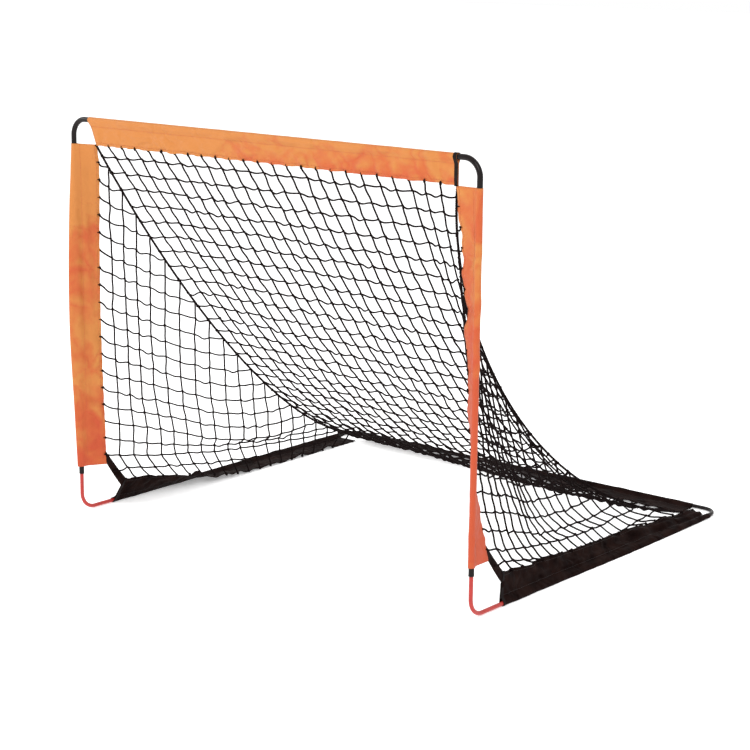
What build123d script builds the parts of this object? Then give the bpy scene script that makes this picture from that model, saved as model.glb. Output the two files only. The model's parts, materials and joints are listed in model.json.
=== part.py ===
from build123d import *

import math
import os

# Portable soccer goal: a folding front frame of push-fit steel tubes in orange fabric sleeves,
# red foot bends, and a U-shaped base of glass-fibre tubes in black sleeves, with a slack net.
# Millimetres. +X is along the crossbar, the mouth faces -Y, +Z is up. The origin is on the
# ground, in the middle of the goal.

# Driving dimensions, between tube centre lines
WIDTH = 1220
HEIGHT = 980
DEPTH = 1050
BEND_R = 40  # every bent corner

# Front frame tubes, the push-fit spigots inside them and the bush that takes the foot bend
FRAME_R = 6.35
FRAME_BORE_R = 5.15
SPIGOT_R = 5.1
SPIGOT_BORE_R = 4.0
ELBOW_LEG = 62  # from the corner to where the next tube begins
ELBOW_SPIGOT = 35
FERRULE_REACH = 40  # a ferrule reaches this far into both tubes of a joint
BUSH_FLANGE = 3
BUSH_REACH = 30
FOOT_TOP = 92  # height of the foot joint over the base tubes' centre line
FOOT_GAP = 0.3  # clearance in the foot joint, so that it can fold

# Base tubes and their inner ferrules
BASE_R = 4.75
BASE_BORE_R = 3.3
BASE_FERRULE_R = 3.25
BASE_FERRULE_BORE_R = 2.2
BASE_JOINTS = (155, 560, 975)  # distances back from the front frame
CORNER_LEG = DEPTH - BASE_JOINTS[2]

CORD_R = 1.5  # shock cord in the tubes

# Fabric sleeves: a tube of cloth with a flat flap of two layers
CLOTH = 0.8
FLAP_THICK = 2.0
FRAME_BAND = 67  # full width of a sleeve laid flat
BASE_BAND = 76
FRAME_SLEEVE_BORE = FRAME_R + 0.25
BASE_SLEEVE_BORE = BASE_R + 0.45
FRAME_SLEEVE_R = FRAME_SLEEVE_BORE + CLOTH
BASE_SLEEVE_R = BASE_SLEEVE_BORE + CLOTH
CROSSBAR_SLEEVE_END = 56  # from a corner to the crossbar sleeve's hem
UPRIGHT_SLEEVE_TOP = 60
UPRIGHT_SLEEVE_FOOT = 19  # bare tube under an upright's sleeve
SIDE_SLEEVE_FRONT = 114
SIDE_SLEEVE_REAR = DEPTH - 50
REAR_SLEEVE_END = 74  # from a rear corner, clear of the side sleeves' flaps
HEM = 10  # doubled cloth or tape at the frame sleeves' corner ends
HEM_SKIN = 0.4

# Which way each flap points, as (share of the sleeve's length, degrees from inward)
UPRIGHT_FLAP = ((0, 35), (0.3, 32), (0.6, 20), (1, 0))  # from the foot up, turning backward
SIDE_FLAP = ((0, 90), (0.15, 70), (0.3, 48), (0.5, 26), (0.75, 8), (1, 0))  # turning down
TURN_STEPS = 3  # straight-sided steps of a turning flap between two of those points

# Net
NET_THICK = 1.0
SEAM = ((531, 6, 912), (431, 157, 560), (398, 529, 112), (520, 962, 12))  # left and right alike
BACK_DROOP = 22  # the middle of the back net hangs this much under its seams
SIDE_EDGE_X = 536  # the side nets' front edge
SIDE_EDGE_Y = 26
SIDE_FOOT = (532, 86, 50)  # their lowest front point
SEAM_GAP = 6

# Strap from the foot of each upright's sleeve to the front of each side sleeve
GUSSET_THICK = 2.0
GUSSET_TOP = ((22, 88), (40, 88))  # back from the upright, over the base tubes
GUSSET_FOOT = ((112, 69), (112, 46))

BASE_Z = BASE_SLEEVE_R
FOOT_Z = BASE_Z + FOOT_TOP
TOP_Z = BASE_Z + HEIGHT
HALF = WIDTH / 2
FRONT_Y = -DEPTH / 2 + (FRAME_SLEEVE_R - BASE_SLEEVE_R) / 2
REAR_Y = FRONT_Y + DEPTH
SIDES = {"left": -1, "right": 1}


# ---- tubes ---------------------------------------------------------------------------------


def rod(points, radius):
    """A round rod through points, with every corner bent to BEND_R."""
    path = FilletPolyline(*points, radius=BEND_R) if len(points) > 2 else Line(*points)
    return sweep(Plane(origin=path @ 0, z_dir=path % 0) * Circle(radius), path=path)


def tube(points, outer, bore):
    return rod(points, outer) - rod(points, bore)


def elbow(side):
    """A bent corner tube with a swaged spigot at each end."""
    x = side * HALF
    bend = [
        (x - side * ELBOW_LEG, FRONT_Y, TOP_Z),
        (x, FRONT_Y, TOP_Z),
        (x, FRONT_Y, TOP_Z - ELBOW_LEG),
    ]
    end = ELBOW_LEG + ELBOW_SPIGOT
    long_bend = [
        (x - side * end, FRONT_Y, TOP_Z),
        (x, FRONT_Y, TOP_Z),
        (x, FRONT_Y, TOP_Z - end),
    ]
    return rod(bend, FRAME_R) + rod(long_bend, SPIGOT_R) - rod(long_bend, SPIGOT_BORE_R)


def foot_bush(side):
    """The plastic reducer in an upright's lower end, with a flange that the foot bend meets."""
    x = side * HALF
    shoulder = FOOT_Z + BUSH_FLANGE
    flange = tube([(x, FRONT_Y, FOOT_Z), (x, FRONT_Y, shoulder)], FRAME_R, BASE_R)
    spigot = tube(
        [(x, FRONT_Y, shoulder), (x, FRONT_Y, FOOT_Z + BUSH_REACH)],
        SPIGOT_R,
        BASE_R,
    )
    return flange + spigot


def frame_tubes():
    """Crossbar and uprights, each in two sections on an inner ferrule, with elbows and bushes."""
    nodes = {}
    bar_end = HALF - ELBOW_LEG
    top = TOP_Z - ELBOW_LEG
    foot = FOOT_Z + BUSH_FLANGE
    middle = (top + foot) / 2
    for name, side in SIDES.items():
        x = side * HALF
        bar = [(side * bar_end, FRONT_Y, TOP_Z), (0, FRONT_Y, TOP_Z)]
        upper = [(x, FRONT_Y, top), (x, FRONT_Y, middle)]
        lower = [(x, FRONT_Y, middle), (x, FRONT_Y, foot)]
        joint = [(x, FRONT_Y, middle - FERRULE_REACH), (x, FRONT_Y, middle + FERRULE_REACH)]
        nodes[f"crossbar_{name}_tube"] = tube(bar, FRAME_R, FRAME_BORE_R)
        nodes[f"{name}_upright_upper_tube"] = tube(upper, FRAME_R, FRAME_BORE_R)
        nodes[f"{name}_upright_lower_tube"] = tube(lower, FRAME_R, FRAME_BORE_R)
        nodes[f"{name}_upright_ferrule"] = tube(joint, SPIGOT_R, SPIGOT_BORE_R)
        nodes[f"{name}_elbow"] = elbow(side)
        nodes[f"{name}_foot_bush"] = foot_bush(side)
    joint = [(-FERRULE_REACH, FRONT_Y, TOP_Z), (FERRULE_REACH, FRONT_Y, TOP_Z)]
    nodes["crossbar_ferrule"] = tube(joint, SPIGOT_R, SPIGOT_BORE_R)
    return nodes


def base_tubes():
    """Red foot bends, side and rear bars, rear corner bends and the ferrules that join them."""
    nodes = {}
    foot_end, side_joint, corner_start = (FRONT_Y + y for y in BASE_JOINTS)
    bar_end = HALF - CORNER_LEG
    for name, side in SIDES.items():
        x = side * HALF
        foot = [(x, FRONT_Y, FOOT_Z - FOOT_GAP), (x, FRONT_Y, BASE_Z), (x, foot_end, BASE_Z)]
        front_bar = [(x, foot_end, BASE_Z), (x, side_joint, BASE_Z)]
        rear_bar = [(x, side_joint, BASE_Z), (x, corner_start, BASE_Z)]
        corner = [(x, corner_start, BASE_Z), (x, REAR_Y, BASE_Z), (side * bar_end, REAR_Y, BASE_Z)]
        cross = [(side * bar_end, REAR_Y, BASE_Z), (0, REAR_Y, BASE_Z)]
        nodes[f"{name}_foot_bend"] = tube(foot, BASE_R, BASE_BORE_R)
        nodes[f"{name}_side_front_bar"] = tube(front_bar, BASE_R, BASE_BORE_R)
        nodes[f"{name}_side_rear_bar"] = tube(rear_bar, BASE_R, BASE_BORE_R)
        nodes[f"{name}_rear_corner_bend"] = tube(corner, BASE_R, BASE_BORE_R)
        nodes[f"rear_{name}_bar"] = tube(cross, BASE_R, BASE_BORE_R)
        nodes[f"{name}_side_ferrules"] = Compound(
            children=[
                base_ferrule((x, y - FERRULE_REACH / 2, BASE_Z), (x, y + FERRULE_REACH / 2, BASE_Z))
                for y in (foot_end, side_joint, corner_start)
            ]
        )
    nodes["rear_ferrules"] = Compound(
        children=[
            base_ferrule(
                (x - FERRULE_REACH / 2, REAR_Y, BASE_Z), (x + FERRULE_REACH / 2, REAR_Y, BASE_Z)
            )
            for x in (-bar_end, 0, bar_end)
        ]
    )
    return nodes


def base_ferrule(start, end):
    return tube([start, end], BASE_FERRULE_R, BASE_FERRULE_BORE_R).solid()


def shock_cords():
    """The elastic cord that strings the tubes together, parted at the foot joints."""
    front = [
        (-HALF, FRONT_Y, FOOT_Z + FOOT_GAP),
        (-HALF, FRONT_Y, TOP_Z),
        (HALF, FRONT_Y, TOP_Z),
        (HALF, FRONT_Y, FOOT_Z + FOOT_GAP),
    ]
    nodes = {"front_shock_cord": rod(front, CORD_R)}
    for name, side in SIDES.items():
        x = side * HALF
        base = [
            (x, FRONT_Y, FOOT_Z - FOOT_GAP),
            (x, FRONT_Y, BASE_Z),
            (x, REAR_Y, BASE_Z),
            (0, REAR_Y, BASE_Z),
        ]
        nodes[f"{name}_base_shock_cord"] = rod(base, CORD_R)
    return nodes


# ---- fabric --------------------------------------------------------------------------------


def flap_sections(turns):
    """Every share of the length and the flap's angle there, with TURN_STEPS between two turns."""
    found = []
    for (at, angle), (next_at, next_angle) in zip(turns, turns[1:]):
        for step in range(TURN_STEPS):
            part = step / TURN_STEPS
            found.append((at + (next_at - at) * part, angle + (next_angle - angle) * part))
    return found + [turns[-1]]


def band(length, bore, width, turns, low=0.0, hand=1, grow=0.0):
    """A sleeve along +Z from the origin: cloth round the tube, and its flat flap.

    turns says where the flap points, from +X toward +Y times hand. low moves the flap off the
    tube's middle, toward its far side. grow makes the outside larger, for what fits over it.
    """
    outer = bore + CLOTH
    reach = width - outer + grow
    start = 0 if low else bore + CLOTH / 2
    steps = (turns[0], turns[-1]) if turns[0][1] == turns[-1][1] else flap_sections(turns)
    flap = loft(
        [
            Pos(0, 0, share * length)
            * Rot(0, 0, hand * angle)
            * Pos((start + reach) / 2, -hand * low, 0)
            * Rectangle(reach - start, FLAP_THICK + 2 * grow)
            for share, angle in steps
        ],
        ruled=True,
    )
    middle = Pos(0, 0, length / 2)
    return middle * Cylinder(outer + grow, length) + flap - middle * Cylinder(bore, length)


def frame_sleeves():
    """Orange sleeves on the crossbar and the uprights, and the hems at their corner ends."""
    nodes = {}
    down = ((0, 0), (1, 0))
    length = WIDTH - 2 * (CROSSBAR_SLEEVE_END + HEM)

    def crossbar_at(x):
        return Plane(origin=(x, FRONT_Y, TOP_Z), x_dir=(0, 0, -1), z_dir=(1, 0, 0))

    bar_sleeve = band(length, FRAME_SLEEVE_BORE, FRAME_BAND, down)
    nodes["crossbar_sleeve"] = crossbar_at(-length / 2) * bar_sleeve
    foot = FOOT_Z + UPRIGHT_SLEEVE_FOOT
    rise = TOP_Z - UPRIGHT_SLEEVE_TOP - HEM - foot
    for name, side in SIDES.items():
        inward = Plane(origin=(side * HALF, FRONT_Y, foot), x_dir=(-side, 0, 0), z_dir=(0, 0, 1))
        # the local Y axis points backward on the left side, where inward is +X
        sleeve = band(rise, FRAME_SLEEVE_BORE, FRAME_BAND, UPRIGHT_FLAP, hand=-side)
        nodes[f"{name}_upright_sleeve"] = inward * sleeve
        end = side * (length + HEM) / 2
        nodes[f"crossbar_{name}_binding"] = hem(crossbar_at(end - HEM / 2), down)
        nodes[f"{name}_upright_hem"] = hem(inward * Pos(0, 0, rise), down)
    return nodes


def hem(place, turns):
    """The last stretch of a sleeve, thicker by a turn of cloth or tape."""
    return place * band(HEM, FRAME_SLEEVE_BORE, FRAME_BAND, turns, grow=HEM_SKIN)


def base_sleeves():
    """Black sleeves on the base tubes. Their flaps stand up in front and lie on the ground behind."""
    nodes = {}
    low = BASE_SLEEVE_R - FLAP_THICK / 2
    length = SIDE_SLEEVE_REAR - SIDE_SLEEVE_FRONT
    for name, side in SIDES.items():
        along = Plane(
            origin=(side * HALF, FRONT_Y + SIDE_SLEEVE_FRONT, BASE_Z),
            x_dir=(-side, 0, 0),
            z_dir=(0, 1, 0),
        )
        # the local Y axis points up on the right side, where inward is -X
        sleeve = band(length, BASE_SLEEVE_BORE, BASE_BAND, SIDE_FLAP, low, hand=side)
        nodes[f"{name}_side_sleeve"] = along * sleeve
    rear_length = WIDTH - 2 * REAR_SLEEVE_END
    across = Plane(
        origin=(-rear_length / 2, REAR_Y, BASE_Z), x_dir=(0, -1, 0), z_dir=(1, 0, 0)
    )
    flat = ((0, 0), (1, 0))
    # the local Y axis points down here
    sleeve = band(rear_length, BASE_SLEEVE_BORE, BASE_BAND, flat, low, hand=-1)
    nodes["rear_sleeve"] = across * sleeve
    return nodes


def gussets():
    """A flat strap of cloth from each upright's foot down to the front of each side sleeve."""
    nodes = {}
    for name, side in SIDES.items():
        outline = [(FRONT_Y + y, BASE_Z + z) for y, z in (*GUSSET_TOP, *GUSSET_FOOT)]
        face = Plane.YZ * make_face(Polyline(*outline, close=True))
        strap = extrude(face, amount=GUSSET_THICK / 2, both=True)
        nodes[f"{name}_gusset"] = Pos(side * HALF, 0, 0) * strap
    return nodes


# ---- net -----------------------------------------------------------------------------------


def seam_point(t):
    """A point of the right seam from the crossbar (t = 0) to the rear corner (t = 1)."""
    weights = ((1 - t) ** 3, 3 * t * (1 - t) ** 2, 3 * t * t * (1 - t), t**3)
    x, y, z = (sum(w * p[i] for w, p in zip(weights, SEAM)) for i in range(3))
    return Vector(x, FRONT_Y + y, BASE_Z + z)


def panel(point, rows, columns):
    """A closed skin of NET_THICK on the smooth surface that point(row, column) runs over."""
    grid = [
        [point(i / (rows - 1), j / (columns - 1)) for j in range(columns)] for i in range(rows)
    ]
    surface = Face.make_surface_from_array_of_points(grid)
    return Solid.thicken(surface, NET_THICK)


def back_net_point(down, across):
    """The back net, from the left seam to the right one."""
    seam = seam_point(down)
    share = 2 * across - 1
    droop = BACK_DROOP * (1 - share * share) * math.sin(math.pi * down)
    return Vector(share * (seam.X - SEAM_GAP), seam.Y - droop / 2, seam.Z - droop)


def side_net_point(side):
    """One side net, from its front edge by the upright back to the seam, row by row."""
    foot = Vector(SIDE_FOOT[0], FRONT_Y + SIDE_FOOT[1], BASE_Z + SIDE_FOOT[2])
    top = Vector(SIDE_EDGE_X, FRONT_Y + SIDE_EDGE_Y / 2, seam_point(0).Z)

    def point(down, back):
        seam = seam_point(down)
        slack = SIDE_EDGE_Y * math.sin(math.pi / 2 * down)
        edge = top + (foot - top) * down
        edge.Y = top.Y + slack + (foot.Y - top.Y - SIDE_EDGE_Y) * down**3
        place = edge + (seam - edge) * back
        return Vector(side * place.X, place.Y, place.Z)

    return point


def nets():
    nodes = {"back_net": panel(back_net_point, 9, 7)}
    for name, side in SIDES.items():
        nodes[f"{name}_net"] = panel(side_net_point(side), 9, 5)
    return nodes


# ---- all -----------------------------------------------------------------------------------


def goal():
    return {
        **frame_tubes(),
        **frame_sleeves(),
        **base_tubes(),
        **base_sleeves(),
        **gussets(),
        **nets(),
        **shock_cords(),
    }


os.makedirs("parts", exist_ok=True)
for node, shape in goal().items():
    export_step(shape, f"parts/{node}.step")
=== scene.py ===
"""Looks of the soccer goal frame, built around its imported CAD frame. Metres, +Z up, mouth toward -Y."""
import json
import math

import bpy
import numpy as np
from mathutils import Matrix, Vector


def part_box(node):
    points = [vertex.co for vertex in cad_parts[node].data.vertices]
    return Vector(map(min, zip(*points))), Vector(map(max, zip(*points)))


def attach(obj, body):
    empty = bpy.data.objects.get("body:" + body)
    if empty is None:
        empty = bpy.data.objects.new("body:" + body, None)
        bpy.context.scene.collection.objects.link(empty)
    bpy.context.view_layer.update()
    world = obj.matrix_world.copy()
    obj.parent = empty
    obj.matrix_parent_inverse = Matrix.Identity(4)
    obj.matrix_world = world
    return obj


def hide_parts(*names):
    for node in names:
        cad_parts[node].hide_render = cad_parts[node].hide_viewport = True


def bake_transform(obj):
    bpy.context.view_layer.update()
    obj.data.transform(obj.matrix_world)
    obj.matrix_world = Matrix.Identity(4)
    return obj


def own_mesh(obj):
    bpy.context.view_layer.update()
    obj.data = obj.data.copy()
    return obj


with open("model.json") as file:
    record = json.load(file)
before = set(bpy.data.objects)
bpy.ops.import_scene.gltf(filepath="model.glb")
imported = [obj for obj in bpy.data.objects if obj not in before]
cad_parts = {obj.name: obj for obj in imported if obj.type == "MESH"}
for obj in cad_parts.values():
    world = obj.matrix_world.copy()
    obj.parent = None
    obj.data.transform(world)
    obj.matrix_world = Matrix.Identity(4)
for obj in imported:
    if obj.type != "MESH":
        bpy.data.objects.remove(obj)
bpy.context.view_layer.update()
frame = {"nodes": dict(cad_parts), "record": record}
nodes = frame["nodes"]
rng = np.random.default_rng(7)

MM = 0.001


# ---- where the CAD is ------------------------------------------------------------------------


def middle(node):
    lo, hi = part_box(node)
    return (np.array(lo) + np.array(hi)) / 2


HALF = float(middle("right_upright_upper_tube")[0])
FRONT_Y = float(middle("right_upright_upper_tube")[1])
TOP_Z = float(middle("crossbar_right_tube")[2])
BASE_Z = float(middle("right_side_front_bar")[2])
REAR_Y = float(middle("rear_right_bar")[1])
FRAME_TUBE_R = (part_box("crossbar_right_tube")[1][1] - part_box("crossbar_right_tube")[0][1]) / 2
BASE_TUBE_R = (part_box("right_side_front_bar")[1][0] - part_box("right_side_front_bar")[0][0]) / 2
SLEEVE_FOOT_Z = float(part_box("right_upright_sleeve")[0][2])
SLEEVE_TOP_Z = float(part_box("right_upright_hem")[1][2])
CROSSBAR_END = float(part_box("crossbar_right_binding")[1][0])
SIDE_FRONT_Y = float(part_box("right_side_sleeve")[0][1])
SIDE_REAR_Y = float(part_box("right_side_sleeve")[1][1])
REAR_END = float(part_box("rear_sleeve")[1][0])
FRAME_BAND = float(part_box("crossbar_sleeve")[1][2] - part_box("crossbar_sleeve")[0][2])
BASE_BAND = float(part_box("rear_sleeve")[1][1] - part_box("rear_sleeve")[0][1])
X, Y, Z = np.eye(3)
SIDES = {"left": -1, "right": 1}


# ---- materials -------------------------------------------------------------------------------


def new_material(name):
    material = bpy.data.materials.new(name)
    material.use_nodes = True
    tree = material.node_tree
    tree.nodes.clear()
    out = tree.nodes.new("ShaderNodeOutputMaterial")
    shader = tree.nodes.new("ShaderNodeBsdfPrincipled")
    tree.links.new(shader.outputs[0], out.inputs[0])
    return material, tree, shader


def add(tree, kind, inputs=None, **settings):
    node = tree.nodes.new(kind)
    for key, value in settings.items():
        setattr(node, key, value)
    for key, value in (inputs or {}).items():
        if isinstance(value, bpy.types.NodeSocket):
            tree.links.new(value, node.inputs[key])
        else:
            node.inputs[key].default_value = value
    return node


def noise(tree, scale, detail=3.0, rough=0.5, where=None):
    where = where or add(tree, "ShaderNodeTexCoord").outputs["Object"]
    return add(
        tree,
        "ShaderNodeTexNoise",
        {"Vector": where, "Scale": scale, "Detail": detail, "Roughness": rough},
    ).outputs["Fac"]


def ramp(tree, value, stops):
    node = add(tree, "ShaderNodeValToRGB", {"Fac": value})
    elements = node.color_ramp.elements
    while len(elements) < len(stops):
        elements.new(0.5)
    for element, (place, colour) in zip(elements, stops):
        element.position = place
        element.color = (*colour, 1)
    return node.outputs["Color"]


def maths(tree, operation, a, b):
    node = tree.nodes.new("ShaderNodeMath")
    node.operation = operation
    for i, value in enumerate((a, b)):
        if isinstance(value, bpy.types.NodeSocket):
            tree.links.new(value, node.inputs[i])
        else:
            node.inputs[i].default_value = value
    return node.outputs[0]


def bump(tree, shader, heights):
    """Stacks (height, strength, distance) bumps on a shader."""
    normal = None
    for height, strength, distance in heights:
        inputs = {"Height": height, "Strength": strength, "Distance": distance}
        if normal is not None:
            inputs["Normal"] = normal
        normal = add(tree, "ShaderNodeBump", inputs).outputs["Normal"]
    tree.links.new(normal, shader.inputs["Normal"])


def weave(tree, pitch):
    """Height of a plain weave of threads at this pitch, from waves along two crossing directions."""
    where = add(tree, "ShaderNodeTexCoord").outputs["Object"]
    waves = [
        add(
            tree,
            "ShaderNodeTexWave",
            {"Vector": where, "Scale": 0.314 / pitch, "Distortion": 0.4, "Detail": 1.0},
            bands_direction=direction,
        ).outputs["Fac"]
        for direction in ("DIAGONAL", "Z")
    ]
    return maths(tree, "MAXIMUM", *waves)


def crumples(tree, scale, where):
    """Height of sharp creases, as coated cloth keeps after it has been packed away."""
    ridges = add(
        tree,
        "ShaderNodeTexNoise",
        {"Vector": where, "Scale": scale, "Detail": 2.0, "Roughness": 0.45, "Distortion": 0.6},
    ).outputs["Fac"]
    return maths(tree, "ABSOLUTE", maths(tree, "SUBTRACT", ridges, 0.5), 0.0)


def orange_cloth():
    """Coated oxford cloth with painted light and shade: peach where it catches the light, higher up and
    toward the left, and red-orange where it falls away and in its creases.
    """
    material, tree, shader = new_material("orange_oxford")
    where = add(tree, "ShaderNodeTexCoord").outputs["Object"]
    broad = noise(tree, 4.0, 2.0, 0.5, where)
    fine = noise(tree, 26.0, 4.0, 0.6, where)
    axes = add(tree, "ShaderNodeSeparateXYZ", {"Vector": where})
    # Painted light: the cloth turns peach toward the top and toward the left, as if the light falls
    # there.
    height = maths(tree, "MULTIPLY", axes.outputs["Z"], 0.4)
    painted_light_by_side = maths(tree, "MULTIPLY", axes.outputs["X"], -0.18)
    broad = maths(tree, "MULTIPLY", broad, 0.95)
    cloudy = maths(tree, "ADD", broad, maths(tree, "MULTIPLY", fine, 0.35))
    creases = crumples(tree, 13.0, where)
    # Painted shade: the valleys of the creases turn the colour darker and redder.
    cloudy = maths(tree, "ADD", cloudy, maths(tree, "MULTIPLY", creases, 0.9))
    cloudy = maths(tree, "SUBTRACT", cloudy, 0.41)
    patches_and_painted_light = maths(tree, "ADD", cloudy, maths(tree, "ADD", height, painted_light_by_side))
    stops = [(0.36, (0.455, 0.074, 0.029)), (0.5, (0.475, 0.105, 0.033)), (0.68, (0.50, 0.185, 0.048))]
    colour = ramp(tree, patches_and_painted_light, stops)
    tree.links.new(colour, shader.inputs["Base Color"])
    rough = maths(tree, "ADD", maths(tree, "MULTIPLY", fine, 0.2), 0.38)
    tree.links.new(rough, shader.inputs["Roughness"])
    shader.inputs["Specular IOR Level"].default_value = 0.14
    shader.inputs["Sheen Weight"].default_value = 0.02
    shader.inputs["Sheen Roughness"].default_value = 0.4
    bump(
        tree,
        shader,
        [
            (creases, 0.9, 14 * MM),
            (noise(tree, 75.0, 3.0, 0.55, where), 0.35, 1.2 * MM),
            (weave(tree, 0.9 * MM), 0.3, 0.12 * MM),
        ],
    )
    return material


def black_cloth():
    """The same cloth in black, with a dull brownish shine on its creases."""
    material, tree, shader = new_material("black_oxford")
    where = add(tree, "ShaderNodeTexCoord").outputs["Object"]
    fine = noise(tree, 22.0, 4.0, 0.6, where)
    colour = ramp(tree, fine, [(0.35, (0.005, 0.002, 0.0018)), (0.7, (0.017, 0.008, 0.0065))])
    tree.links.new(colour, shader.inputs["Base Color"])
    rough = maths(tree, "ADD", maths(tree, "MULTIPLY", fine, 0.2), 0.36)
    tree.links.new(rough, shader.inputs["Roughness"])
    shader.inputs["Specular IOR Level"].default_value = 0.012
    bump(
        tree,
        shader,
        [
            (crumples(tree, 16.0, where), 0.9, 14 * MM),
            (noise(tree, 60.0, 3.0, 0.55, where), 0.4, 1.5 * MM),
            (weave(tree, 0.9 * MM), 0.3, 0.12 * MM),
        ],
    )
    return material


def binding_tape():
    """Ribbed black binding tape."""
    material, tree, shader = new_material("black_binding_tape")
    where = add(tree, "ShaderNodeTexCoord").outputs["Object"]
    colour = ramp(tree, noise(tree, 90.0), [(0.3, (0.006, 0.004, 0.004)), (0.7, (0.016, 0.012, 0.011))])
    tree.links.new(colour, shader.inputs["Base Color"])
    shader.inputs["Roughness"].default_value = 0.75
    shader.inputs["Specular IOR Level"].default_value = 0.1
    ribs = add(
        tree,
        "ShaderNodeTexWave",
        {"Vector": where, "Scale": 260.0, "Distortion": 0.5},
        bands_direction="Z",
    ).outputs["Fac"]
    bump(tree, shader, [(ribs, 0.5, 0.25 * MM)])
    return material


def gloss(name, dark, light, rough, coat=0.0, specular=0.5):
    """A smooth painted or moulded tube, with faint specks and handling marks."""
    material, tree, shader = new_material(name)
    where = add(tree, "ShaderNodeTexCoord").outputs["Object"]
    speck = noise(tree, 35.0, 5.0, 0.65, where)
    tree.links.new(ramp(tree, speck, [(0.35, dark), (0.7, light)]), shader.inputs["Base Color"])
    tree.links.new(
        maths(tree, "ADD", maths(tree, "MULTIPLY", speck, 0.16), rough), shader.inputs["Roughness"]
    )
    shader.inputs["Specular IOR Level"].default_value = specular
    shader.inputs["Coat Weight"].default_value = coat
    shader.inputs["Coat Roughness"].default_value = 0.2
    bump(tree, shader, [(noise(tree, 420.0, 2.0, 0.5, where), 0.12, 0.1 * MM)])
    return material


def twine():
    """Black twisted polyethylene twine, slightly waxy."""
    material, tree, shader = new_material("black_twine")
    where = add(tree, "ShaderNodeTexCoord").outputs["Object"]
    fibre = noise(tree, 700.0, 2.0, 0.6, where)
    tree.links.new(
        ramp(tree, fibre, [(0.3, (0.004, 0.002, 0.002)), (0.75, (0.014, 0.009, 0.009))]),
        shader.inputs["Base Color"],
    )
    shader.inputs["Roughness"].default_value = 0.7
    shader.inputs["Specular IOR Level"].default_value = 0.02
    bump(tree, shader, [(fibre, 0.6, 0.3 * MM)])
    return material


def brushed(name, colour):
    material, tree, shader = new_material(name)
    where = add(tree, "ShaderNodeTexCoord").outputs["Object"]
    grain = noise(tree, 300.0, 4.0, 0.6, where)
    shader.inputs["Base Color"].default_value = (*colour, 1)
    tree.links.new(
        maths(tree, "ADD", maths(tree, "MULTIPLY", grain, 0.2), 0.25), shader.inputs["Roughness"]
    )
    shader.inputs["Metallic"].default_value = 1.0
    bump(tree, shader, [(grain, 0.2, 0.05 * MM)])
    return material


ORANGE = orange_cloth()
BLACK = black_cloth()
TAPE = binding_tape()
TWINE = twine()
BLACK_TUBE = gloss(
    "black_painted_tube", (0.006, 0.004, 0.004), (0.013, 0.009, 0.009),
    rough=0.16, coat=0.05, specular=0.13,
)
RED_TUBE = gloss(
    "red_glass_fibre", (0.36, 0.018, 0.013), (0.44, 0.03, 0.022), rough=0.25, coat=0.25, specular=0.3
)
PLASTIC = gloss(
    "black_plastic", (0.008, 0.005, 0.005), (0.016, 0.011, 0.011), rough=0.4, specular=0.12
)
STEEL = brushed("bright_ferrule", (0.62, 0.62, 0.63))
ELASTIC = gloss("elastic_cord", (0.02, 0.02, 0.022), (0.05, 0.05, 0.055), rough=0.7)

THREADS = {
    "front_frame": gloss("orange_thread", (0.42, 0.07, 0.025), (0.55, 0.13, 0.04), rough=0.5),
    "base": gloss("black_thread", (0.01, 0.007, 0.007), (0.03, 0.022, 0.02), rough=0.5),
}

CAD_FINISH = {
    "black_steel": BLACK_TUBE,
    "black_glass_fibre": BLACK_TUBE,
    "red_glass_fibre": RED_TUBE,
    "black_plastic": PLASTIC,
    "bright_steel": STEEL,
    "elastic_cord": ELASTIC,
}


def finish_cad():
    """Gives every CAD node that stays its procedural material."""
    for entry in frame["record"]["subparts"]:
        finish = CAD_FINISH.get(entry["material_slot"])
        if finish is None:
            continue
        node = nodes[entry["node"]]
        for slot in node.material_slots:
            slot.material = finish
        for face in node.data.polygons:
            face.use_smooth = True


# ---- mesh helpers ----------------------------------------------------------------------------


def make_object(name, vertices, faces, material):
    mesh = bpy.data.meshes.new(name)
    mesh.from_pydata([tuple(v) for v in vertices], [], [tuple(int(i) for i in f) for f in faces])
    mesh.update()
    for face in mesh.polygons:
        face.use_smooth = True
    mesh.materials.append(material)
    made = bpy.data.objects.new(name, mesh)
    bpy.context.scene.collection.objects.link(made)
    return made


def apply_modifiers(ob):
    graph = bpy.context.evaluated_depsgraph_get()
    mesh = bpy.data.meshes.new_from_object(ob.evaluated_get(graph))
    ob.modifiers.clear()
    ob.data = mesh


def tube_faces(steps, around, closed=False):
    """Quads between the rings of one tube, and from its last ring to its first if it is closed."""
    i, j = np.meshgrid(np.arange(steps if closed else steps - 1), np.arange(around), indexing="ij")
    i_next, j_next = (i + 1) % steps, (j + 1) % around
    quads = [i * around + j, i * around + j_next, i_next * around + j_next, i_next * around + j]
    return np.stack(quads, -1).reshape(-1, 4)


def repeat_faces(faces, copies, stride):
    """The same faces for many copies of a piece with this many vertices each."""
    return (faces[None] + (np.arange(copies) * stride)[:, None, None]).reshape(-1, 4)


def join_meshes(parts):
    vertices, faces, offset = [], [], 0
    for v, f in parts:
        vertices.append(v)
        faces.append(f + offset)
        offset += len(v)
    return np.concatenate(vertices), np.concatenate(faces)


def quads_to_faces(faces):
    """Face tuples, with a quad that names one vertex twice turned into a triangle."""
    return [tuple(dict.fromkeys(int(i) for i in face)) for face in faces]


def between(stops, share):
    """Value at each share along a list of (place, value) stops, straight from one to the next."""
    places, values = zip(*stops)
    return np.interp(share, places, values)


def smooth(values, passes):
    """A row of values, softened, with its two ends kept."""
    values = np.array(values, float)
    for _ in range(passes):
        values[1:-1] = (values[:-2] + 2 * values[1:-1] + values[2:]) / 4
    return values


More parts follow.
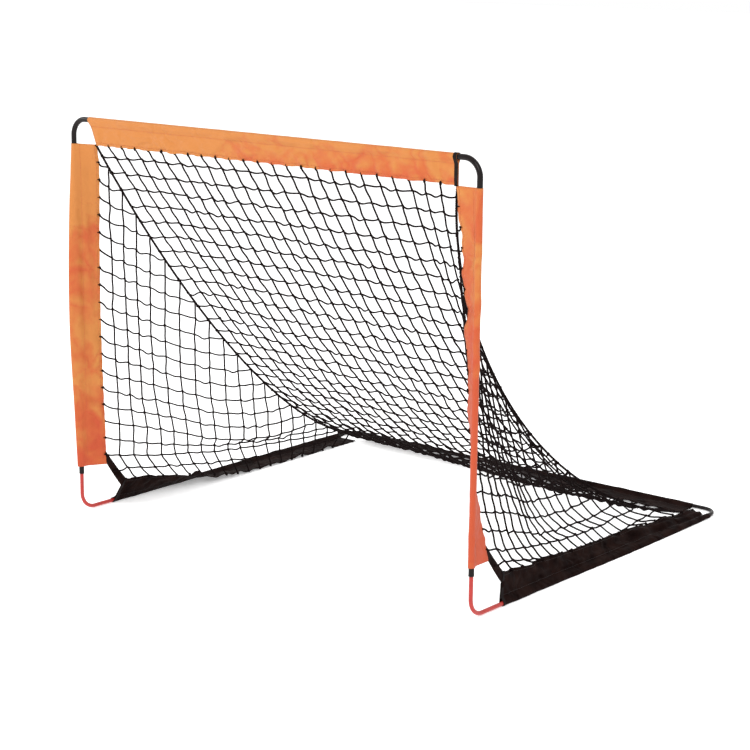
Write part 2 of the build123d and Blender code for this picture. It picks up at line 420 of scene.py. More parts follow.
def ripples(along, across, count, longest, shortest, slant):
    """Gentle random folds over a strip: a sum of waves, most of them slanting across it."""
    total = np.zeros(np.broadcast(along, across).shape)
    for _ in range(count):
        length = shortest * (longest / shortest) ** rng.random()
        lean = slant * rng.normal(1.0, 0.5) * rng.choice((-1, 1), p=(0.25, 0.75))
        phase = rng.random() * 2 * math.pi
        centre, spread = rng.random() * along.max(), 0.05 + 0.25 * rng.random()
        window = np.exp(-(((along - centre) / spread) ** 2))
        turn = 2 * math.pi * (along + lean * across) / length
        total = total + window * length * np.sin(turn + phase)
    return total


# ---- sleeves ---------------------------------------------------------------------------------

CLOTH = 0.55 * MM
FLAP_GAP = 1.5 * MM  # between the two layers of a flap
SLACK = 0.9 * MM  # from a tube to the cloth round it
SEAM_WIDTH = 17 * MM  # over which the two layers come together beside the tube
STATION_PITCH = 0.0045
SAMPLES = 401  # of a turn, bulge or gather along a sleeve
TURN_PASSES = 900
GATHER_PASSES = 300
LOOP_R = 1.1 * MM
LOOP_REACH = 3.6 * MM
LOOP_STEPS = 14
LOOP_SIDES = 6
THREAD_R = 0.35 * MM
QUIET_END = 0.03  # of a sleeve's length at each end, where the folds die out
SKEW_FADE = 0.05
PLEAT_DEPTH = 3.2 * MM


class Sleeve:
    """A flat band of cloth sewn round a tube, with its flap free to turn along its length.

    Angle 0 points the flap along inward, and 90 along turned. low moves the flap from the tube's
    middle to its far side, where it can lie on the ground. bulge pushes the cloth out behind the
    tube, and gather shortens the flap to a share of its reach; both are stops along the length,
    as turns is. skew slides the hem along the tube at the start, and gap parts the two layers.
    """

    def __init__(
        self, start, end, inward, turned, tube, width, turns,
        low=0.0, bulge=((0, 0), (1, 0)), skew=0.0, gather=((0, 1), (1, 1)), gap=FLAP_GAP,
    ):
        self.start, self.end = np.array(start, float), np.array(end, float)
        self.inward, self.turned = np.array(inward, float), np.array(turned, float)
        self.length = float(np.linalg.norm(self.end - self.start))
        self.axis = (self.end - self.start) / self.length
        self.pocket = tube + SLACK
        self.reach = width - self.pocket
        self.low, self.skew, self.gap = low, skew, gap
        self.shares = np.linspace(0, 1, SAMPLES)
        self.angles = smooth(np.radians(between(turns, self.shares)), TURN_PASSES)
        self.bulges = smooth(between(bulge, self.shares), TURN_PASSES)
        self.gathers = smooth(between(gather, self.shares), GATHER_PASSES)

    def directions(self, share):
        angle = np.interp(share, self.shares, self.angles)[..., None]
        flap = np.cos(angle) * self.inward + np.sin(angle) * self.turned
        normal = np.cos(angle) * self.turned - np.sin(angle) * self.inward
        return flap, normal

    def hem(self, share, back=0.0):
        """The point on the flap's free edge at a share of the length."""
        share = np.asarray(share, float)
        flap, normal = self.directions(share)
        centre = self.start + share[..., None] * (self.end - self.start)
        gather = np.interp(share, self.shares, self.gathers)
        reach = self.pocket + (self.reach - self.pocket) * gather - back
        return centre + reach[..., None] * flap - self.low * normal

    def profile(self, bulge):
        """The cross-section as (distance along the flap, along its normal), hem to hem."""
        d = self.reach * (1 - np.linspace(0, 1, 15) ** 0.85)
        blend = np.clip(d / SEAM_WIDTH, 0, 1)
        ease = (1 - blend) ** 2 * (1 + 2 * blend)
        half = self.gap / 2
        upper = -self.low + half + (self.pocket + self.low - half) * ease
        lower = -self.low - half + (-self.pocket + self.low + half) * ease
        arc = np.linspace(math.pi / 2, 3 * math.pi / 2, 11)[1:-1]
        far = (self.pocket + bulge) * np.cos(arc)
        rim = [(self.reach + 0.4 * self.gap, -self.low)]
        return np.array(
            rim
            + list(zip(d, upper))
            + list(zip(far, self.pocket * np.sin(arc)))
            + list(zip(d[::-1], lower[::-1]))
        )

    def build(self, name, material, folds, puckers=0.0, tie=0.045, floor=None, slant=1.0):
        """The cloth as a mesh object.

        folds scales its random folds and puckers the pull of the lacing, which has a tie every
        tie metres. floor is the lowest height that the cloth may reach.
        """
        stations = max(int(self.length / STATION_PITCH), 12)
        share = np.linspace(0, 1, stations + 1)
        along = share * self.length
        flap, normal = self.directions(share)
        centre = self.start + share[:, None] * (self.end - self.start)
        bulges = np.interp(share, self.shares, self.bulges)
        shapes = np.array([self.profile(b) for b in bulges])
        d, n = shapes[..., 0], shapes[..., 1]
        spread = np.clip(d / self.reach, 0, 1)
        wave = ripples(along[:, None], d, count=26, longest=0.16, shortest=0.03, slant=slant)
        wave += 0.35 * ripples(along[:, None], d, count=30, longest=0.05, shortest=0.014, slant=slant)
        quiet = np.clip(np.minimum(along, self.length - along) / QUIET_END, 0, 1)[:, None]
        wave *= folds * (0.25 + 0.75 * spread) * quiet
        loose = ripples(along[:, None], d, count=16, longest=0.09, shortest=0.025, slant=slant)
        belly = np.abs(loose) * folds * 0.5 * np.sin(np.pi * spread) * np.sign(n + self.low)
        pull = puckers * (0.5 - 0.5 * np.cos(2 * np.pi * along / tie))[:, None] * spread**6
        skew = self.skew * np.exp(-along / SKEW_FADE)[:, None] * spread
        crimp = puckers * 0.6 * np.sin(2 * np.pi * along / (tie / 2))[:, None] * spread**4
        gather = np.interp(share, self.shares, self.gathers)[:, None]
        lost = np.sqrt(np.clip(1 / gather**2 - 1, 0, 1))
        pleats = np.sin(3.4 * np.pi * spread + 9 * share[:, None])
        crease = PLEAT_DEPTH * lost * np.sin(np.pi * spread) * pleats
        d = np.where(d > self.pocket, self.pocket + (d - self.pocket) * gather, d)
        d = d - pull
        n = n + wave + belly + crimp + crease
        tight = np.maximum(1, self.pocket / np.maximum(np.hypot(d, n), 1e-9))
        d, n = d * tight, n * tight
        points = (
            centre[:, None, :] + d[..., None] * flap[:, None, :] + n[..., None] * normal[:, None, :]
        ) + skew[..., None] * self.axis
        if floor is not None:
            points[..., 2] = np.maximum(points[..., 2], floor)
        ob = make_object(name, points.reshape(-1, 3), tube_faces(*points.shape[:2]), material)
        thick = ob.modifiers.new("thickness", "SOLIDIFY")
        thick.thickness = CLOTH
        thick.offset = -1 if self.flips() else 1
        apply_modifiers(ob)
        self.points = points
        return ob

    def stitches(self, column, offset):
        """Short stitches along one column of the cloth's points, standing a little proud of it."""
        normal = self.directions(np.linspace(0, 1, len(self.points)))[1]
        line = self.points[:, column] + offset * normal
        along = np.array([0.1, 0.4, 0.75])[None, :, None]
        paths = line[:-1, None] + (line[1:] - line[:-1])[:, None] * along
        return strings_mesh(paths, THREAD_R, 5)

    def loops(self, shares):
        """Loops of twine through the cloth and round its hem, one at each share of the length."""
        flap, normal = (way[:, None] for way in self.directions(np.asarray(shares)))
        centre = self.hem(shares, back=1.2 * MM)
        turn = np.linspace(0, 2 * math.pi, LOOP_STEPS, endpoint=False)[None, :, None]
        around = np.linspace(0, 2 * math.pi, LOOP_SIDES, endpoint=False)[None, None, :, None]
        out = np.cos(turn) * flap + np.sin(turn) * normal
        ring = centre[:, None] + LOOP_REACH * (np.cos(turn) * flap + 0.8 * np.sin(turn) * normal)
        tube = np.cos(around) * out[:, :, None] + np.sin(around) * self.axis
        vertices = (ring[:, :, None] + LOOP_R * tube).reshape(-1, 3)
        one = tube_faces(LOOP_STEPS, LOOP_SIDES, closed=True)
        return vertices, repeat_faces(one, len(flap), LOOP_STEPS * LOOP_SIDES)

    def flips(self):
        """Whether the faces of the cloth look inward, so that it is thickened the other way."""
        return float(np.dot(np.cross(self.inward, self.turned), self.axis)) > 0


def declare_sleeve(ob, body, node_names):
    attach(ob, body)
    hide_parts(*node_names)


# How far each flap is turned, in degrees, at shares of its sleeve's length.
CROSSBAR_TURNS = ((0, 0), (0.12, 5), (0.5, 9), (0.88, 5), (1, 0))
RIGHT_UPRIGHT_TURNS = (
    (0, 90), (0.07, 83), (0.13, 66), (0.2, 54), (0.31, 46),
    (0.44, 39), (0.57, 35), (0.7, 29), (0.84, 20), (1, 0),
)
LEFT_UPRIGHT_TURNS = ((0, 60), (0.3, 50), (0.6, 46), (0.82, 42), (0.93, 30), (1, 16))
LEFT_SIDE_TURNS = (
    (0, 64), (0.08, 61), (0.125, 48), (0.235, 36), (0.295, 28), (0.345, 14), (0.47, 3), (1, 1),
)
RIGHT_SIDE_TURNS = ((0, 90), (0.15, 84), (0.4, 60), (0.6, 45), (0.85, 28), (1, 16))
REAR_TURNS = ((0, 26), (0.3, 27), (0.42, 20), (0.5, 14), (0.6, 7), (0.7, 3), (1, 2))
# How much of its reach each gathered flap keeps, and how far the loose cloth stands off its tube.
LEFT_UPRIGHT_GATHER = ((0, 1), (0.3, 0.88), (0.5, 0.84), (0.75, 0.87), (0.9, 0.95), (1, 1))
RIGHT_SIDE_GATHER = ((0, 1), (0.08, 0.9), (0.15, 0.84), (0.25, 0.76), (0.4, 0.66), (1, 0.62))
RIGHT_UPRIGHT_BULGE = ((0, 2 * MM), (0.3, 5 * MM), (0.6, 2 * MM), (1, 0))
LEFT_UPRIGHT_BULGE = (
    (0, 3 * MM), (0.2, 8 * MM), (0.42, 15 * MM), (0.6, 14 * MM), (0.8, 9 * MM), (0.93, 3 * MM), (1, 0),
)
RIGHT_SIDE_BULGE = ((0, 1 * MM), (0.5, 9 * MM), (1, 3 * MM))
LEFT_SLIP = 14 * MM  # the left side sleeve has slid forward along its bar
LOW = BASE_TUBE_R + SLACK - FLAP_GAP / 2
CLOTH_FLOOR = 0.9 * MM
THREAD_FLOOR = 0.3 * MM

crossbar = Sleeve(
    (-CROSSBAR_END, FRONT_Y, TOP_Z), (CROSSBAR_END, FRONT_Y, TOP_Z), -Z, Y, FRAME_TUBE_R, FRAME_BAND,
    CROSSBAR_TURNS, skew=24 * MM,
)
uprights = {
    "right": Sleeve(
        (HALF, FRONT_Y, SLEEVE_FOOT_Z), (HALF, FRONT_Y, SLEEVE_TOP_Z), -X, Y, FRAME_TUBE_R, FRAME_BAND,
        RIGHT_UPRIGHT_TURNS, bulge=RIGHT_UPRIGHT_BULGE,
    ),
    "left": Sleeve(
        (-HALF, FRONT_Y, SLEEVE_FOOT_Z), (-HALF, FRONT_Y, SLEEVE_TOP_Z), X, Y, FRAME_TUBE_R,
        FRAME_BAND + 4 * MM, LEFT_UPRIGHT_TURNS, bulge=LEFT_UPRIGHT_BULGE, gather=LEFT_UPRIGHT_GATHER,
    ),
}
sides = {
    "right": Sleeve(
        (HALF, SIDE_FRONT_Y, BASE_Z), (HALF, SIDE_REAR_Y, BASE_Z), -X, Z, BASE_TUBE_R, BASE_BAND,
        RIGHT_SIDE_TURNS, low=LOW, skew=7 * MM, bulge=RIGHT_SIDE_BULGE, gather=RIGHT_SIDE_GATHER,
    ),
    "left": Sleeve(
        (-HALF, SIDE_FRONT_Y - LEFT_SLIP, BASE_Z), (-HALF, SIDE_REAR_Y - LEFT_SLIP, BASE_Z),
        X, Z, BASE_TUBE_R, BASE_BAND, LEFT_SIDE_TURNS, low=LOW, skew=LEFT_SLIP,
    ),
}
rear = Sleeve(
    (-REAR_END, REAR_Y, BASE_Z), (REAR_END, REAR_Y, BASE_Z), -Y, Z, BASE_TUBE_R, BASE_BAND,
    REAR_TURNS, low=LOW,
)


def lie_flat(ob):
    """Gives a side sleeve's cloth a mesh of its own."""
    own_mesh(ob)


def build_sleeves():
    ob = crossbar.build("crossbar_sleeve_cloth", ORANGE, folds=0.019, puckers=1.3 * MM, slant=1.4)
    cover = ["crossbar_sleeve", "crossbar_left_binding"]
    declare_sleeve(ob, "front_frame", cover)
    for name, sleeve in uprights.items():
        ob = sleeve.build(
            f"{name}_upright_sleeve_cloth", ORANGE, folds=0.010, puckers=0.7 * MM, slant=0.5
        )
        cover, rests = [f"{name}_upright_sleeve", f"{name}_upright_hem"], [f"{name}_upright_upper_tube"]
        declare_sleeve(ob, "front_frame", cover)
    for name, sleeve in sides.items():
        ob = sleeve.build(
            f"{name}_side_sleeve_cloth", BLACK,
            folds=0.018, puckers=0.6 * MM, floor=CLOTH_FLOOR, slant=1.2,
        )
        cover, rests = [f"{name}_side_sleeve"], [f"{name}_side_front_bar"]
        declare_sleeve(ob, "base", cover)
        lie_flat(ob)
    ob = rear.build("rear_sleeve_cloth", BLACK, folds=0.012, puckers=0.6 * MM, floor=CLOTH_FLOOR)
    declare_sleeve(ob, "base", ["rear_sleeve"])


BINDING_GAP = FLAP_GAP + 2.4 * MM


def build_bindings():
    """Black tape folded over the crossbar sleeve's right end and the side sleeves' front ends."""
    tape = Sleeve(
        (CROSSBAR_END - 9 * MM, FRONT_Y, TOP_Z), (CROSSBAR_END + 0.4 * MM, FRONT_Y, TOP_Z), -Z, Y,
        FRAME_TUBE_R + 1.2 * MM, FRAME_BAND + 1.5 * MM, ((0, 0), (1, 0)), gap=BINDING_GAP,
    )
    ob = tape.build("crossbar_right_binding_tape", TAPE, folds=0.0)
    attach(ob, "front_frame")
    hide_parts("crossbar_right_binding")
    for name in SIDES:
        sleeve = sides[name]
        lean = math.degrees(float(sleeve.angles[0]))
        front, back = sleeve.start - 0.4 * MM * sleeve.axis, sleeve.start + 8 * MM * sleeve.axis
        tape = Sleeve(
            front, back, sleeve.inward, sleeve.turned, BASE_TUBE_R + SLACK, BASE_BAND + 1 * MM,
            ((0, lean), (1, lean)), low=sleeve.low, skew=sleeve.skew, gap=BINDING_GAP,
        )
        ob = tape.build(f"{name}_side_binding_tape", TAPE, folds=0.0, floor=0.7 * MM)
        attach(ob, "base")
        lie_flat(ob)


def lacing_shares(sleeve):
    """Where the net is laced to a sleeve, as shares of the sleeve's length."""
    if sleeve is crossbar:
        return np.linspace(TOP_SHARES[-1], TOP_SHARES[1], COLUMNS + 1)[1:-1]
    if sleeve is rear:
        return np.linspace(FOOT_SHARES[-1], FOOT_SHARES[1], COLUMNS + 1)[1:-1]
    if sleeve in sides.values():
        return np.linspace(*SIDE_SHARES, SIDE_ROWS + 1)[1:]
    shares = 1 - np.arange(1, SIDE_ROWS) * UPRIGHT_PITCH / sleeve.length
    return shares[shares > 0.015]


# The stitched columns of a sleeve's points, two by the hem and two by the tube, and how far each
# row of stitches stands off the cloth.
SEAMS = ((2, 0.25 * MM), (-2, -0.25 * MM), (11, 0.25 * MM), (-11, -0.25 * MM))


def build_sewing():
    """Lacing loops round every hem, and stitches along the hems and the tube pockets."""
    groups = {
        "front": ("front_frame", [crossbar, *uprights.values()]),
        "left_side": ("base", [sides["left"]]),
        "right_side": ("base", [sides["right"]]),
        "rear": ("base", [rear]),
    }
    for name, (body, sleeves) in groups.items():
        loops, seams = [], []
        for sleeve in sleeves:
            loops.append(sleeve.loops(lacing_shares(sleeve)))
            for column, offset in SEAMS:
                seams.append(sleeve.stitches(column, offset))
        vertices, faces = join_meshes(loops)
        vertices[:, 2] = np.maximum(vertices[:, 2], TWINE_FLOOR)
        lacing = make_object(f"{name}_lacing", vertices, quads_to_faces(faces), TWINE)
        vertices, faces = join_meshes(seams)
        vertices[:, 2] = np.maximum(vertices[:, 2], THREAD_FLOOR)
        stitches = make_object(f"{name}_stitches", vertices, quads_to_faces(faces), THREADS[body])
        fabric = "orange_fabric" if name == "front" else "black_fabric"
        for ob, slot in ((lacing, "black_netting"), (stitches, fabric)):
            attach(ob, body)
            if "side" in name:
                lie_flat(ob)


# ---- net -------------------------------------------------------------------------------------

COLUMNS = 25
BACK_ROWS = 30
SIDE_ROWS = 20
MESH = 0.044
# Where the seams and the nets' edges meet the sleeves, as shares of each sleeve's length.
TOP_SHARES = {-1: 0.018, 1: 0.997}
FOOT_SHARES = {-1: 0.012, 1: 0.988}
SIDE_SHARES = (0.004, 0.985)
COLUMN_SHARE = 0.996  # how long the back net's strings between rows are, beside their start lengths
SIDEWAYS_HOLD = 0.4  # the row strings keep the back net's columns apart
FIRST_ROW = 0.030  # from the crossbar's hem to the first row of knots
UPRIGHT_PITCH = 0.0435
TWINE_R = 2.15 * MM
KNOT_R = 3.0 * MM
SEAM_ROPE_R = 2.8 * MM
SEAM_KNOT_R = 3.6 * MM
TWINE_FLOOR = 0.5 * MM
SEAM_BENDS = {  # pull each seam in and down
    -1: ((0.431, 0.157, 0.560), (0.398, 0.529, 0.112)),
    1: ((0.428, 0.134, 0.573), (0.397, 0.533, 0.085)),
}
BUNCHED = 3  # columns that gather along the right seam
BUNCH_PITCH = 0.011
LIFT = 11 * MM  # of the back net's start shape, off the straight line between its seams
TOE = 16 * MM  # its rise just before it meets the rear sleeve
KNOT_NUDGE = 1.1 * MM
# settle(): gravity's step, the speed kept early and late, and how it corrects the strings
DROP = 0.03 * MM  # small, so that the strings don't stretch
EARLY_KEEP, LATE_KEEP, LATE_FROM = 0.97, 0.85, 0.7
RELAXATION = 1.7
CROWDED, PUSH = 0.2, 0.05  # knots closer than this share of a string are pushed apart
NET_FLOOR = 3 * MM


def path_lengths(path):
    """Distance from the start of a path to each of its points."""
    return np.concatenate([[0], np.cumsum(np.linalg.norm(np.diff(path, axis=0), axis=1))])


def seam_points(side, lengths):
    """Points down a seam at shares of its length, and its length.

    It runs from the crossbar sleeve's hem to the rear sleeve's.
    """
    top = crossbar.hem(TOP_SHARES[side]) + np.array([0, 2 * MM, 0])
    foot = rear.hem(FOOT_SHARES[side])
    high, low = (np.array([side * x, FRONT_Y + y, BASE_Z + z]) for x, y, z in SEAM_BENDS[side])
    t = np.linspace(0, 1, 801)[:, None]
    path = (1 - t) ** 3 * top + 3 * t * (1 - t) ** 2 * high + 3 * t**2 * (1 - t) * low + t**3 * foot
    run = path_lengths(path)
    wanted = np.asarray(lengths) * run[-1]
    return np.stack([np.interp(wanted, run, path[:, i]) for i in range(3)], 1), run[-1]


def settle(points, fixed, edges, rest, hold=0.0, steps=300, sweeps=16):
    """Lets a net of inextensible strings hang between its fixed points.

    rest is the length of each edge's string. hold is how firmly each knot keeps its place across
    the goal, from 0, free, to 1, fixed.
    """
    a, b = edges.T
    count = len(points)
    load = np.bincount(a, minlength=count) + np.bincount(b, minlength=count)
    share = RELAXATION / np.maximum(load, 1)
    weight_a = np.where(fixed[a], 0.0, np.where(fixed[b], 1.0, 0.5))
    weight_b = np.where(fixed[b], 0.0, np.where(fixed[a], 1.0, 0.5))
    free = ~fixed
    place, before = points.copy(), points.copy()
    for step in range(steps):
        speed = (place - before) * (EARLY_KEEP if step < LATE_FROM * steps else LATE_KEEP)
        before = place.copy()
        place[free] += speed[free]
        place[free, 2] -= DROP
        for _ in range(sweeps):
            gap = place[b] - place[a]
            far = np.linalg.norm(gap, axis=1)
            pull = np.maximum(far - rest, 0) + PUSH * np.minimum(far - CROWDED * rest, 0)
            shift = gap * (pull / np.maximum(far, 1e-9))[:, None]
            move = np.zeros_like(place)
            for axis in range(3):
                move[:, axis] = np.bincount(a, shift[:, axis] * weight_a, count)
                move[:, axis] -= np.bincount(b, shift[:, axis] * weight_b, count)
            place[free] += (move * share[:, None])[free]
            place[free, 0] += hold * (points[free, 0] - place[free, 0])
            place[:, 2] = np.where(free, np.maximum(place[:, 2], NET_FLOOR), place[:, 2])
    return place


def column_shares(width, full):
    """Where the columns cross a row of this width: evenly at the hem, crowding to the right below."""
    crowd = np.clip((full - width) / (0.18 * full), 0, 1)
    cell = full / COLUMNS
    last = np.full(BUNCHED, cell + (BUNCH_PITCH - cell) * crowd)
    plain = np.arange(COLUMNS - BUNCHED)
    lack = cell * len(plain) - (width - last.sum())
    steps = cell - lack * plain / plain.sum()
    return np.concatenate([[0], np.cumsum(np.concatenate([steps, last]))]) / width


def back_net():
    """Knots and strings of the back panel, row by row from the crossbar down."""
    reach = seam_points(1, [0])[1]
    first = FIRST_ROW / reach
    lengths = np.concatenate([[0], first + (1 - first) * np.linspace(0, 1, BACK_ROWS)])
    left, right = seam_points(-1, lengths)[0], seam_points(1, lengths)[0]
    full = right[0, 0] - left[0, 0]
    grid = []
    for row, (a, b) in enumerate(zip(left, right)):
        across = column_shares(b[0] - a[0], full)[:, None]
        inside = np.minimum(1, 16 * across * (1 - across))
        lift = LIFT * math.sin(math.pi * lengths[row]) * (0.6 * Z - 0.8 * Y)
        toe = TOE * math.exp(-(((lengths[row] - 0.9) / 0.07) ** 2)) * Z
        grid.append(a + (b - a) * across + inside * (lift + toe))
    grid = np.array(grid)
    ends = [(corner[0] + CROSSBAR_END) / (2 * CROSSBAR_END) for corner in (left[0], right[0])]
    grid[0] = crossbar.hem(np.linspace(*ends, COLUMNS + 1))
    grid[-1, 1:-1] = rear.hem((grid[-1, 1:-1, 0] + REAR_END) / (2 * REAR_END))
    index = np.arange(grid.shape[0] * grid.shape[1]).reshape(grid.shape[:2])
    fixed = np.zeros(index.shape, bool)
    fixed[0], fixed[-1], fixed[:, 0], fixed[:, -1] = True, True, True, True
    rows = np.stack([index[1:-1, :-1].ravel(), index[1:-1, 1:].ravel()], 1)
    columns = np.stack([index[:-1, 1:-1].ravel(), index[1:, 1:-1].ravel()], 1)
    drops = np.linalg.norm(np.diff(grid[:, 1:-1], axis=0), axis=2).ravel() * COLUMN_SHARE
    rest = np.concatenate([np.full(len(rows), MESH), drops])
    return grid.reshape(-1, 3), fixed.ravel(), rows, columns, rest, SIDEWAYS_HOLD


def side_net(name):
    """Knots and strings of a side panel: a square mesh cut on the slant along the seam."""
    side = SIDES[name]
    count = SIDE_ROWS
    cells = np.arange(count + 1)
    reach = seam_points(side, [0])[1]
    lengths = cells / count - 0.014 / reach * np.exp(-(((cells - 3.5) / 3.0) ** 2))
    seam = seam_points(side, lengths)[0]
    seam[0] = seam_points(side, [0])[0]
    sleeve = uprights[name]
    down = cells * UPRIGHT_PITCH / sleeve.length
    laced = down < 0.985
    upright = sleeve.hem(1 - np.minimum(down, 0.99))
    upright[0] = seam[0]
    base = sides[name].hem(np.linspace(*SIDE_SHARES, count + 1))
    base[-1] = seam[-1]
    missing = np.flatnonzero(~laced)
    for order, k in enumerate(missing):
        upright[k] = sleeve.hem(0.004) + (base[0] - sleeve.hem(0.004)) * (order + 1) / len(missing)
    points, fixed, index = [], [], {}
    for k in range(count + 1):
        for c in range(k + 1):
            index[k, c] = len(points)
            place = upright[k] + (seam[k] - upright[k]) * (c / max(k, 1))
            if k == count:
                place = base[c]
            elif 0 < c < k:
                hang = seam[c] - Z * MESH * (k - c)
                hang[2] = max(hang[2], base[c][2])
                level = (k - c) / (count - c)
                place = hang + (base[c] - hang) * level**3
            points.append(place if c else upright[k])
            fixed.append(c == 0 or c == k or k == count)
    points[index[count, 0]] = base[0]
    rows = [(index[k, c], index[k, c + 1]) for k in range(1, count) for c in range(k)]
    columns = [(index[k, c], index[k + 1, c]) for c in range(1, count) for k in range(c, count)]
    rest = np.full(len(rows) + len(columns), MESH)
    return np.array(points), np.array(fixed), np.array(rows), np.array(columns), rest, 0.0


def strings_mesh(paths, radius, around=6):
    """Tubes along many paths of the same number of points: vertices and faces."""
    steps = paths.shape[1]
    chord = paths[:, -1] - paths[:, 0]
    chord /= np.maximum(np.linalg.norm(chord, axis=1), 1e-9)[:, None]
    guide = np.where(np.abs(chord[:, 2:3]) < 0.9, Z, X)
    first = np.cross(chord, guide)
    first /= np.linalg.norm(first, axis=1)[:, None]
    second = np.cross(chord, first)
    turn = np.linspace(0, 2 * math.pi, around, endpoint=False)
    ring = (
        np.cos(turn)[None, :, None] * first[:, None, :] + np.sin(turn)[None, :, None] * second[:, None, :]
    ) * radius
    vertices = (paths[:, :, None, :] + ring[:, None, :, :]).reshape(-1, 3)
    return vertices, repeat_faces(tube_faces(steps, around), len(paths), steps * around)


def knots_mesh(points, radius, rings=5, around=8):
    """A small lumpy knot at every point."""
    lat = np.linspace(0, math.pi, rings + 1)[1:-1]
    lon = np.linspace(0, 2 * math.pi, around, endpoint=False)
    belts = [
        (math.sin(a) * math.cos(b), math.sin(a) * math.sin(b), math.cos(a)) for a in lat for b in lon
    ]
    unit = np.array([(0, 0, 1), *belts, (0, 0, -1)])
    faces = []
    for j in range(around):
        k = (j + 1) % around
        faces.append((0, 1 + j, 1 + k, 1 + k))
        for i in range(rings - 2):
            o = 1 + i * around
            faces.append((o + j, o + around + j, o + around + k, o + k))
        o = 1 + (rings - 2) * around
        faces.append((o + j, len(unit) - 1, len(unit) - 1, o + k))
    stretch = 1 + 0.28 * rng.standard_normal((len(points), 1, 3)).clip(-1, 1)
    lumps = 1 + 0.1 * rng.standard_normal((len(points), len(unit), 1))
    vertices = (points[:, None, :] + unit[None] * stretch * lumps * radius).reshape(-1, 3)
    return vertices, repeat_faces(np.array(faces), len(points), len(unit))


def slack_paths(points, edges, rest, steps, most, wander):
    """Each string's path: it sags and wanders by as much as its slack allows, up to a limit."""
    start, end = points[edges[:, 0]], points[edges[:, 1]]
    gap = end - start
    far = np.linalg.norm(gap, axis=1)
    slack = np.sqrt(np.clip(rest / np.maximum(far, 1e-6) - 1, 0.004, 0.3))
    height = np.minimum(2 * far * slack / math.pi, most) * rng.uniform(0.6, 1.1, len(edges))
    t = np.linspace(0, 1, steps)
    aim = rng.standard_normal((len(edges), 3))
    down = np.tile(-Z, (len(edges), 1))
    unit = gap / np.maximum(far, 1e-9)[:, None]
    for vector in (aim, down):
        vector -= (vector * unit).sum(1)[:, None] * unit
    aim /= np.maximum(np.linalg.norm(aim, axis=1), 1e-9)[:, None]
    t = t[None, :, None]
    bow = np.sin(np.pi * t) * height[:, None, None] * down[:, None, :]
    swing = np.sin(2 * np.pi * t) * (height * wander)[:, None, None] * aim[:, None, :]
    return start[:, None, :] + gap[:, None, :] * t + bow + swing


def twine_object(name, parts):
    """One object of twine that stays above the floor, with its placement baked into its mesh."""
    vertices, faces = join_meshes(parts)
    vertices[:, 2] = np.maximum(vertices[:, 2], TWINE_FLOOR)
    ob = make_object(name, vertices, quads_to_faces(faces), TWINE)
    fan(ob)
    return ob


def net_object(name, node, panel):
    """One panel of the net: settled, each knot nudged a little, and its strings given their slack."""
    points, fixed, rows, columns, rest, hold = panel
    edges = np.concatenate([rows, columns])
    points = settle(points, fixed, edges, rest, hold)
    points = points + np.where(fixed[:, None], 0, rng.normal(0, KNOT_NUDGE, points.shape))
    parts = [
        strings_mesh(slack_paths(points, rows, MESH, steps=9, most=4.5 * MM, wander=0.55), TWINE_R),
        strings_mesh(slack_paths(points, columns, MESH, steps=7, most=1.2 * MM, wander=0.8), TWINE_R),
        knots_mesh(points, KNOT_R),
    ]
    ob = twine_object(name, parts)
    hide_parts(node)


def fan(ob):
    """Bakes a piece's placement into its mesh."""
    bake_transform(ob)


def rope(path, radius, pitch, strands=3, around=6):
    """A laid rope along a path of points: vertices and faces."""
    parts = []
    tangent = np.gradient(path, axis=0)
    tangent /= np.linalg.norm(tangent, axis=1)[:, None]
    first = np.cross(tangent, X)
    first /= np.linalg.norm(first, axis=1)[:, None]
    second = np.cross(tangent, first)
    run = path_lengths(path)
    turn = np.linspace(0, 2 * math.pi, around, endpoint=False)[None, :, None]
    ring = np.cos(turn) * first[:, None, :] + np.sin(turn) * second[:, None, :]
    faces = tube_faces(len(path), around)
    for strand in range(strands):
        phase = (2 * math.pi * (run / pitch + strand / strands))[:, None]
        centre = path + 0.55 * radius * (np.cos(phase) * first + np.sin(phase) * second)
        vertices = (centre[:, None, :] + 0.62 * radius * ring).reshape(-1, 3)
        parts.append((vertices, faces))
    return join_meshes(parts)


def build_nets():
    net_object("back_net_twine", "back_net", back_net())
    for name, side in SIDES.items():
        net_object(f"{name}_net_twine", f"{name}_net", side_net(name))
        path = seam_points(side, np.linspace(0, 1, 700))[0]
        knots = seam_points(side, np.linspace(0.02, 1, BACK_ROWS))[0]
        parts = [rope(path, SEAM_ROPE_R, pitch=13 * MM), knots_mesh(knots, SEAM_KNOT_R)]
        ob = twine_object(f"{name}_seam_rope", parts)


# ---- small cloth pieces ----------------------------------------------------------------------


def strap(name, upper, lower, material, thickness, bow, steps=16, across=4):
    """A ribbon between two edges, each given as (start, end), that sags by bow in its middle."""
    rows = []
    for i in range(steps + 1):
        t = i / steps
        a = np.array(upper[0]) * (1 - t) + np.array(upper[1]) * t
        b = np.array(lower[0]) * (1 - t) + np.array(lower[1]) * t
        push = np.array(bow) * math.sin(math.pi * t)
        for j in range(across + 1):
            s = j / across
            crown = 0.6 * MM * math.sin(math.pi * s)
            rows.append(a * (1 - s) + b * s + push + np.array([crown, 0, 0]))
    row = across + 1
    corners = [i * row + j for i in range(steps) for j in range(across)]
    faces = [(k, k + 1, k + row + 1, k + row) for k in corners]
    ob = make_object(name, rows, faces, material)
    solid = ob.modifiers.new("thickness", "SOLIDIFY")
    solid.thickness = thickness
    solid.offset = 0
    apply_modifiers(ob)
    return ob


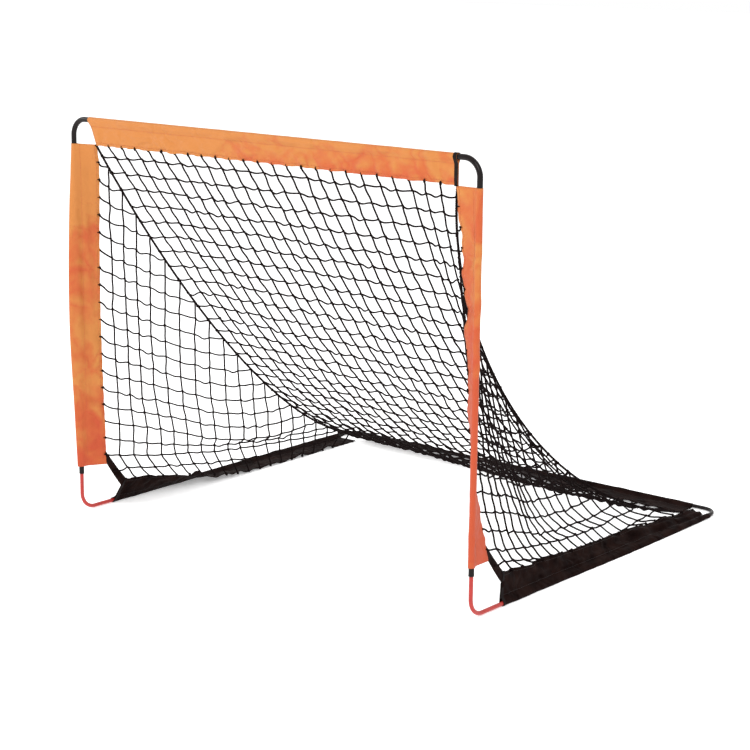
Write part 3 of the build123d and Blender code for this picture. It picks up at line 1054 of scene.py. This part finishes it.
def build_gussets():
    """A strap on each side, from the foot of the upright's hem to the front of the side sleeve's."""
    for name in SIDES:
        upright, base = uprights[name], sides[name]
        high, low = upright.hem(np.array([0.042, 0.004]), back=1 * MM)
        corner = np.array([0.004 + base.skew / base.length])
        front_top, front_low = base.hem(corner)[0], base.hem(corner, back=30 * MM)[0]
        edges = (high, front_top), (low, front_low)
        ob = strap(f"{name}_gusset_strap", *edges, BLACK, thickness=1.4 * MM, bow=(0, 0, -2 * MM))
        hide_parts(f"{name}_gusset")
        fan(ob)


# ---- stage -----------------------------------------------------------------------------------


FLOOR_HALF = 30
SOFTBOXES = (  # place, size and power
    ((2.2, -3.4, 3.2), 2.0, 78),
    ((-3.4, -2.6, 2.4), 1.6, 52),
    ((0.5, 3.2, 3.6), 3.0, 30),
)


def build_stage():
    """A white floor, a white world and three soft lights."""
    material, _, shader = new_material("floor")
    corners = [(x * FLOOR_HALF, y * FLOOR_HALF, 0) for x, y in ((-1, -1), (1, -1), (1, 1), (-1, 1))]
    floor = make_object("floor", corners, [(0, 1, 2, 3)], material)
    shader.inputs["Base Color"].default_value = (1.0, 1.0, 1.0, 1)
    shader.inputs["Roughness"].default_value = 0.9
    shader.inputs["Emission Color"].default_value = (1, 1, 1, 1)
    shader.inputs["Emission Strength"].default_value = 0.3
    world = bpy.data.worlds.new("studio")
    world.use_nodes = True
    world.node_tree.nodes["Background"].inputs[0].default_value = (1, 1, 1, 1)
    world.node_tree.nodes["Background"].inputs[1].default_value = 1.0
    bpy.context.scene.world = world
    for place, size, power in SOFTBOXES:
        data = bpy.data.lights.new("softbox", "AREA")
        data.size = size
        data.energy = power
        light = bpy.data.objects.new("softbox", data)
        light.location = place
        aim = np.array([0, 0, 0.4]) - np.array(place)
        light.rotation_euler = look(aim)
        bpy.context.scene.collection.objects.link(light)


def look(direction):
    """The rotation that points a camera or a light along a direction."""
    return Vector(direction).to_track_quat("-Z", "Y").to_euler()


CAMERA = {"azimuth": 39.375, "elevation": 12.743, "distance": 4.696, "roll": 0.62, "lens": 93.74256}
CAMERA_AIM = (0.05215, FRONT_Y + 0.35, BASE_Z + 0.38713)


def build_camera():
    """A camera in front of the goal, to its right and a little above it."""
    azimuth, elevation = math.radians(CAMERA["azimuth"]), math.radians(CAMERA["elevation"])
    level = math.cos(elevation)
    away = np.array([math.sin(azimuth) * level, -math.cos(azimuth) * level, math.sin(elevation)])
    data = bpy.data.cameras.new("camera")
    data.sensor_width = 36
    data.lens = CAMERA["lens"]
    data.clip_end = 60
    camera = bpy.data.objects.new("camera", data)
    camera.location = np.array(CAMERA_AIM) + away * CAMERA["distance"]
    roll = Matrix.Rotation(math.radians(CAMERA["roll"]), 4, "Z")
    camera.rotation_euler = (look(-away).to_matrix().to_4x4() @ roll).to_euler()
    bpy.context.scene.collection.objects.link(camera)
    bpy.context.scene.camera = camera


bpy.context.scene.view_settings.view_transform = "Standard"
finish_cad()
build_camera()
build_stage()
build_sleeves()
build_nets()
build_gussets()
build_bindings()
build_sewing()
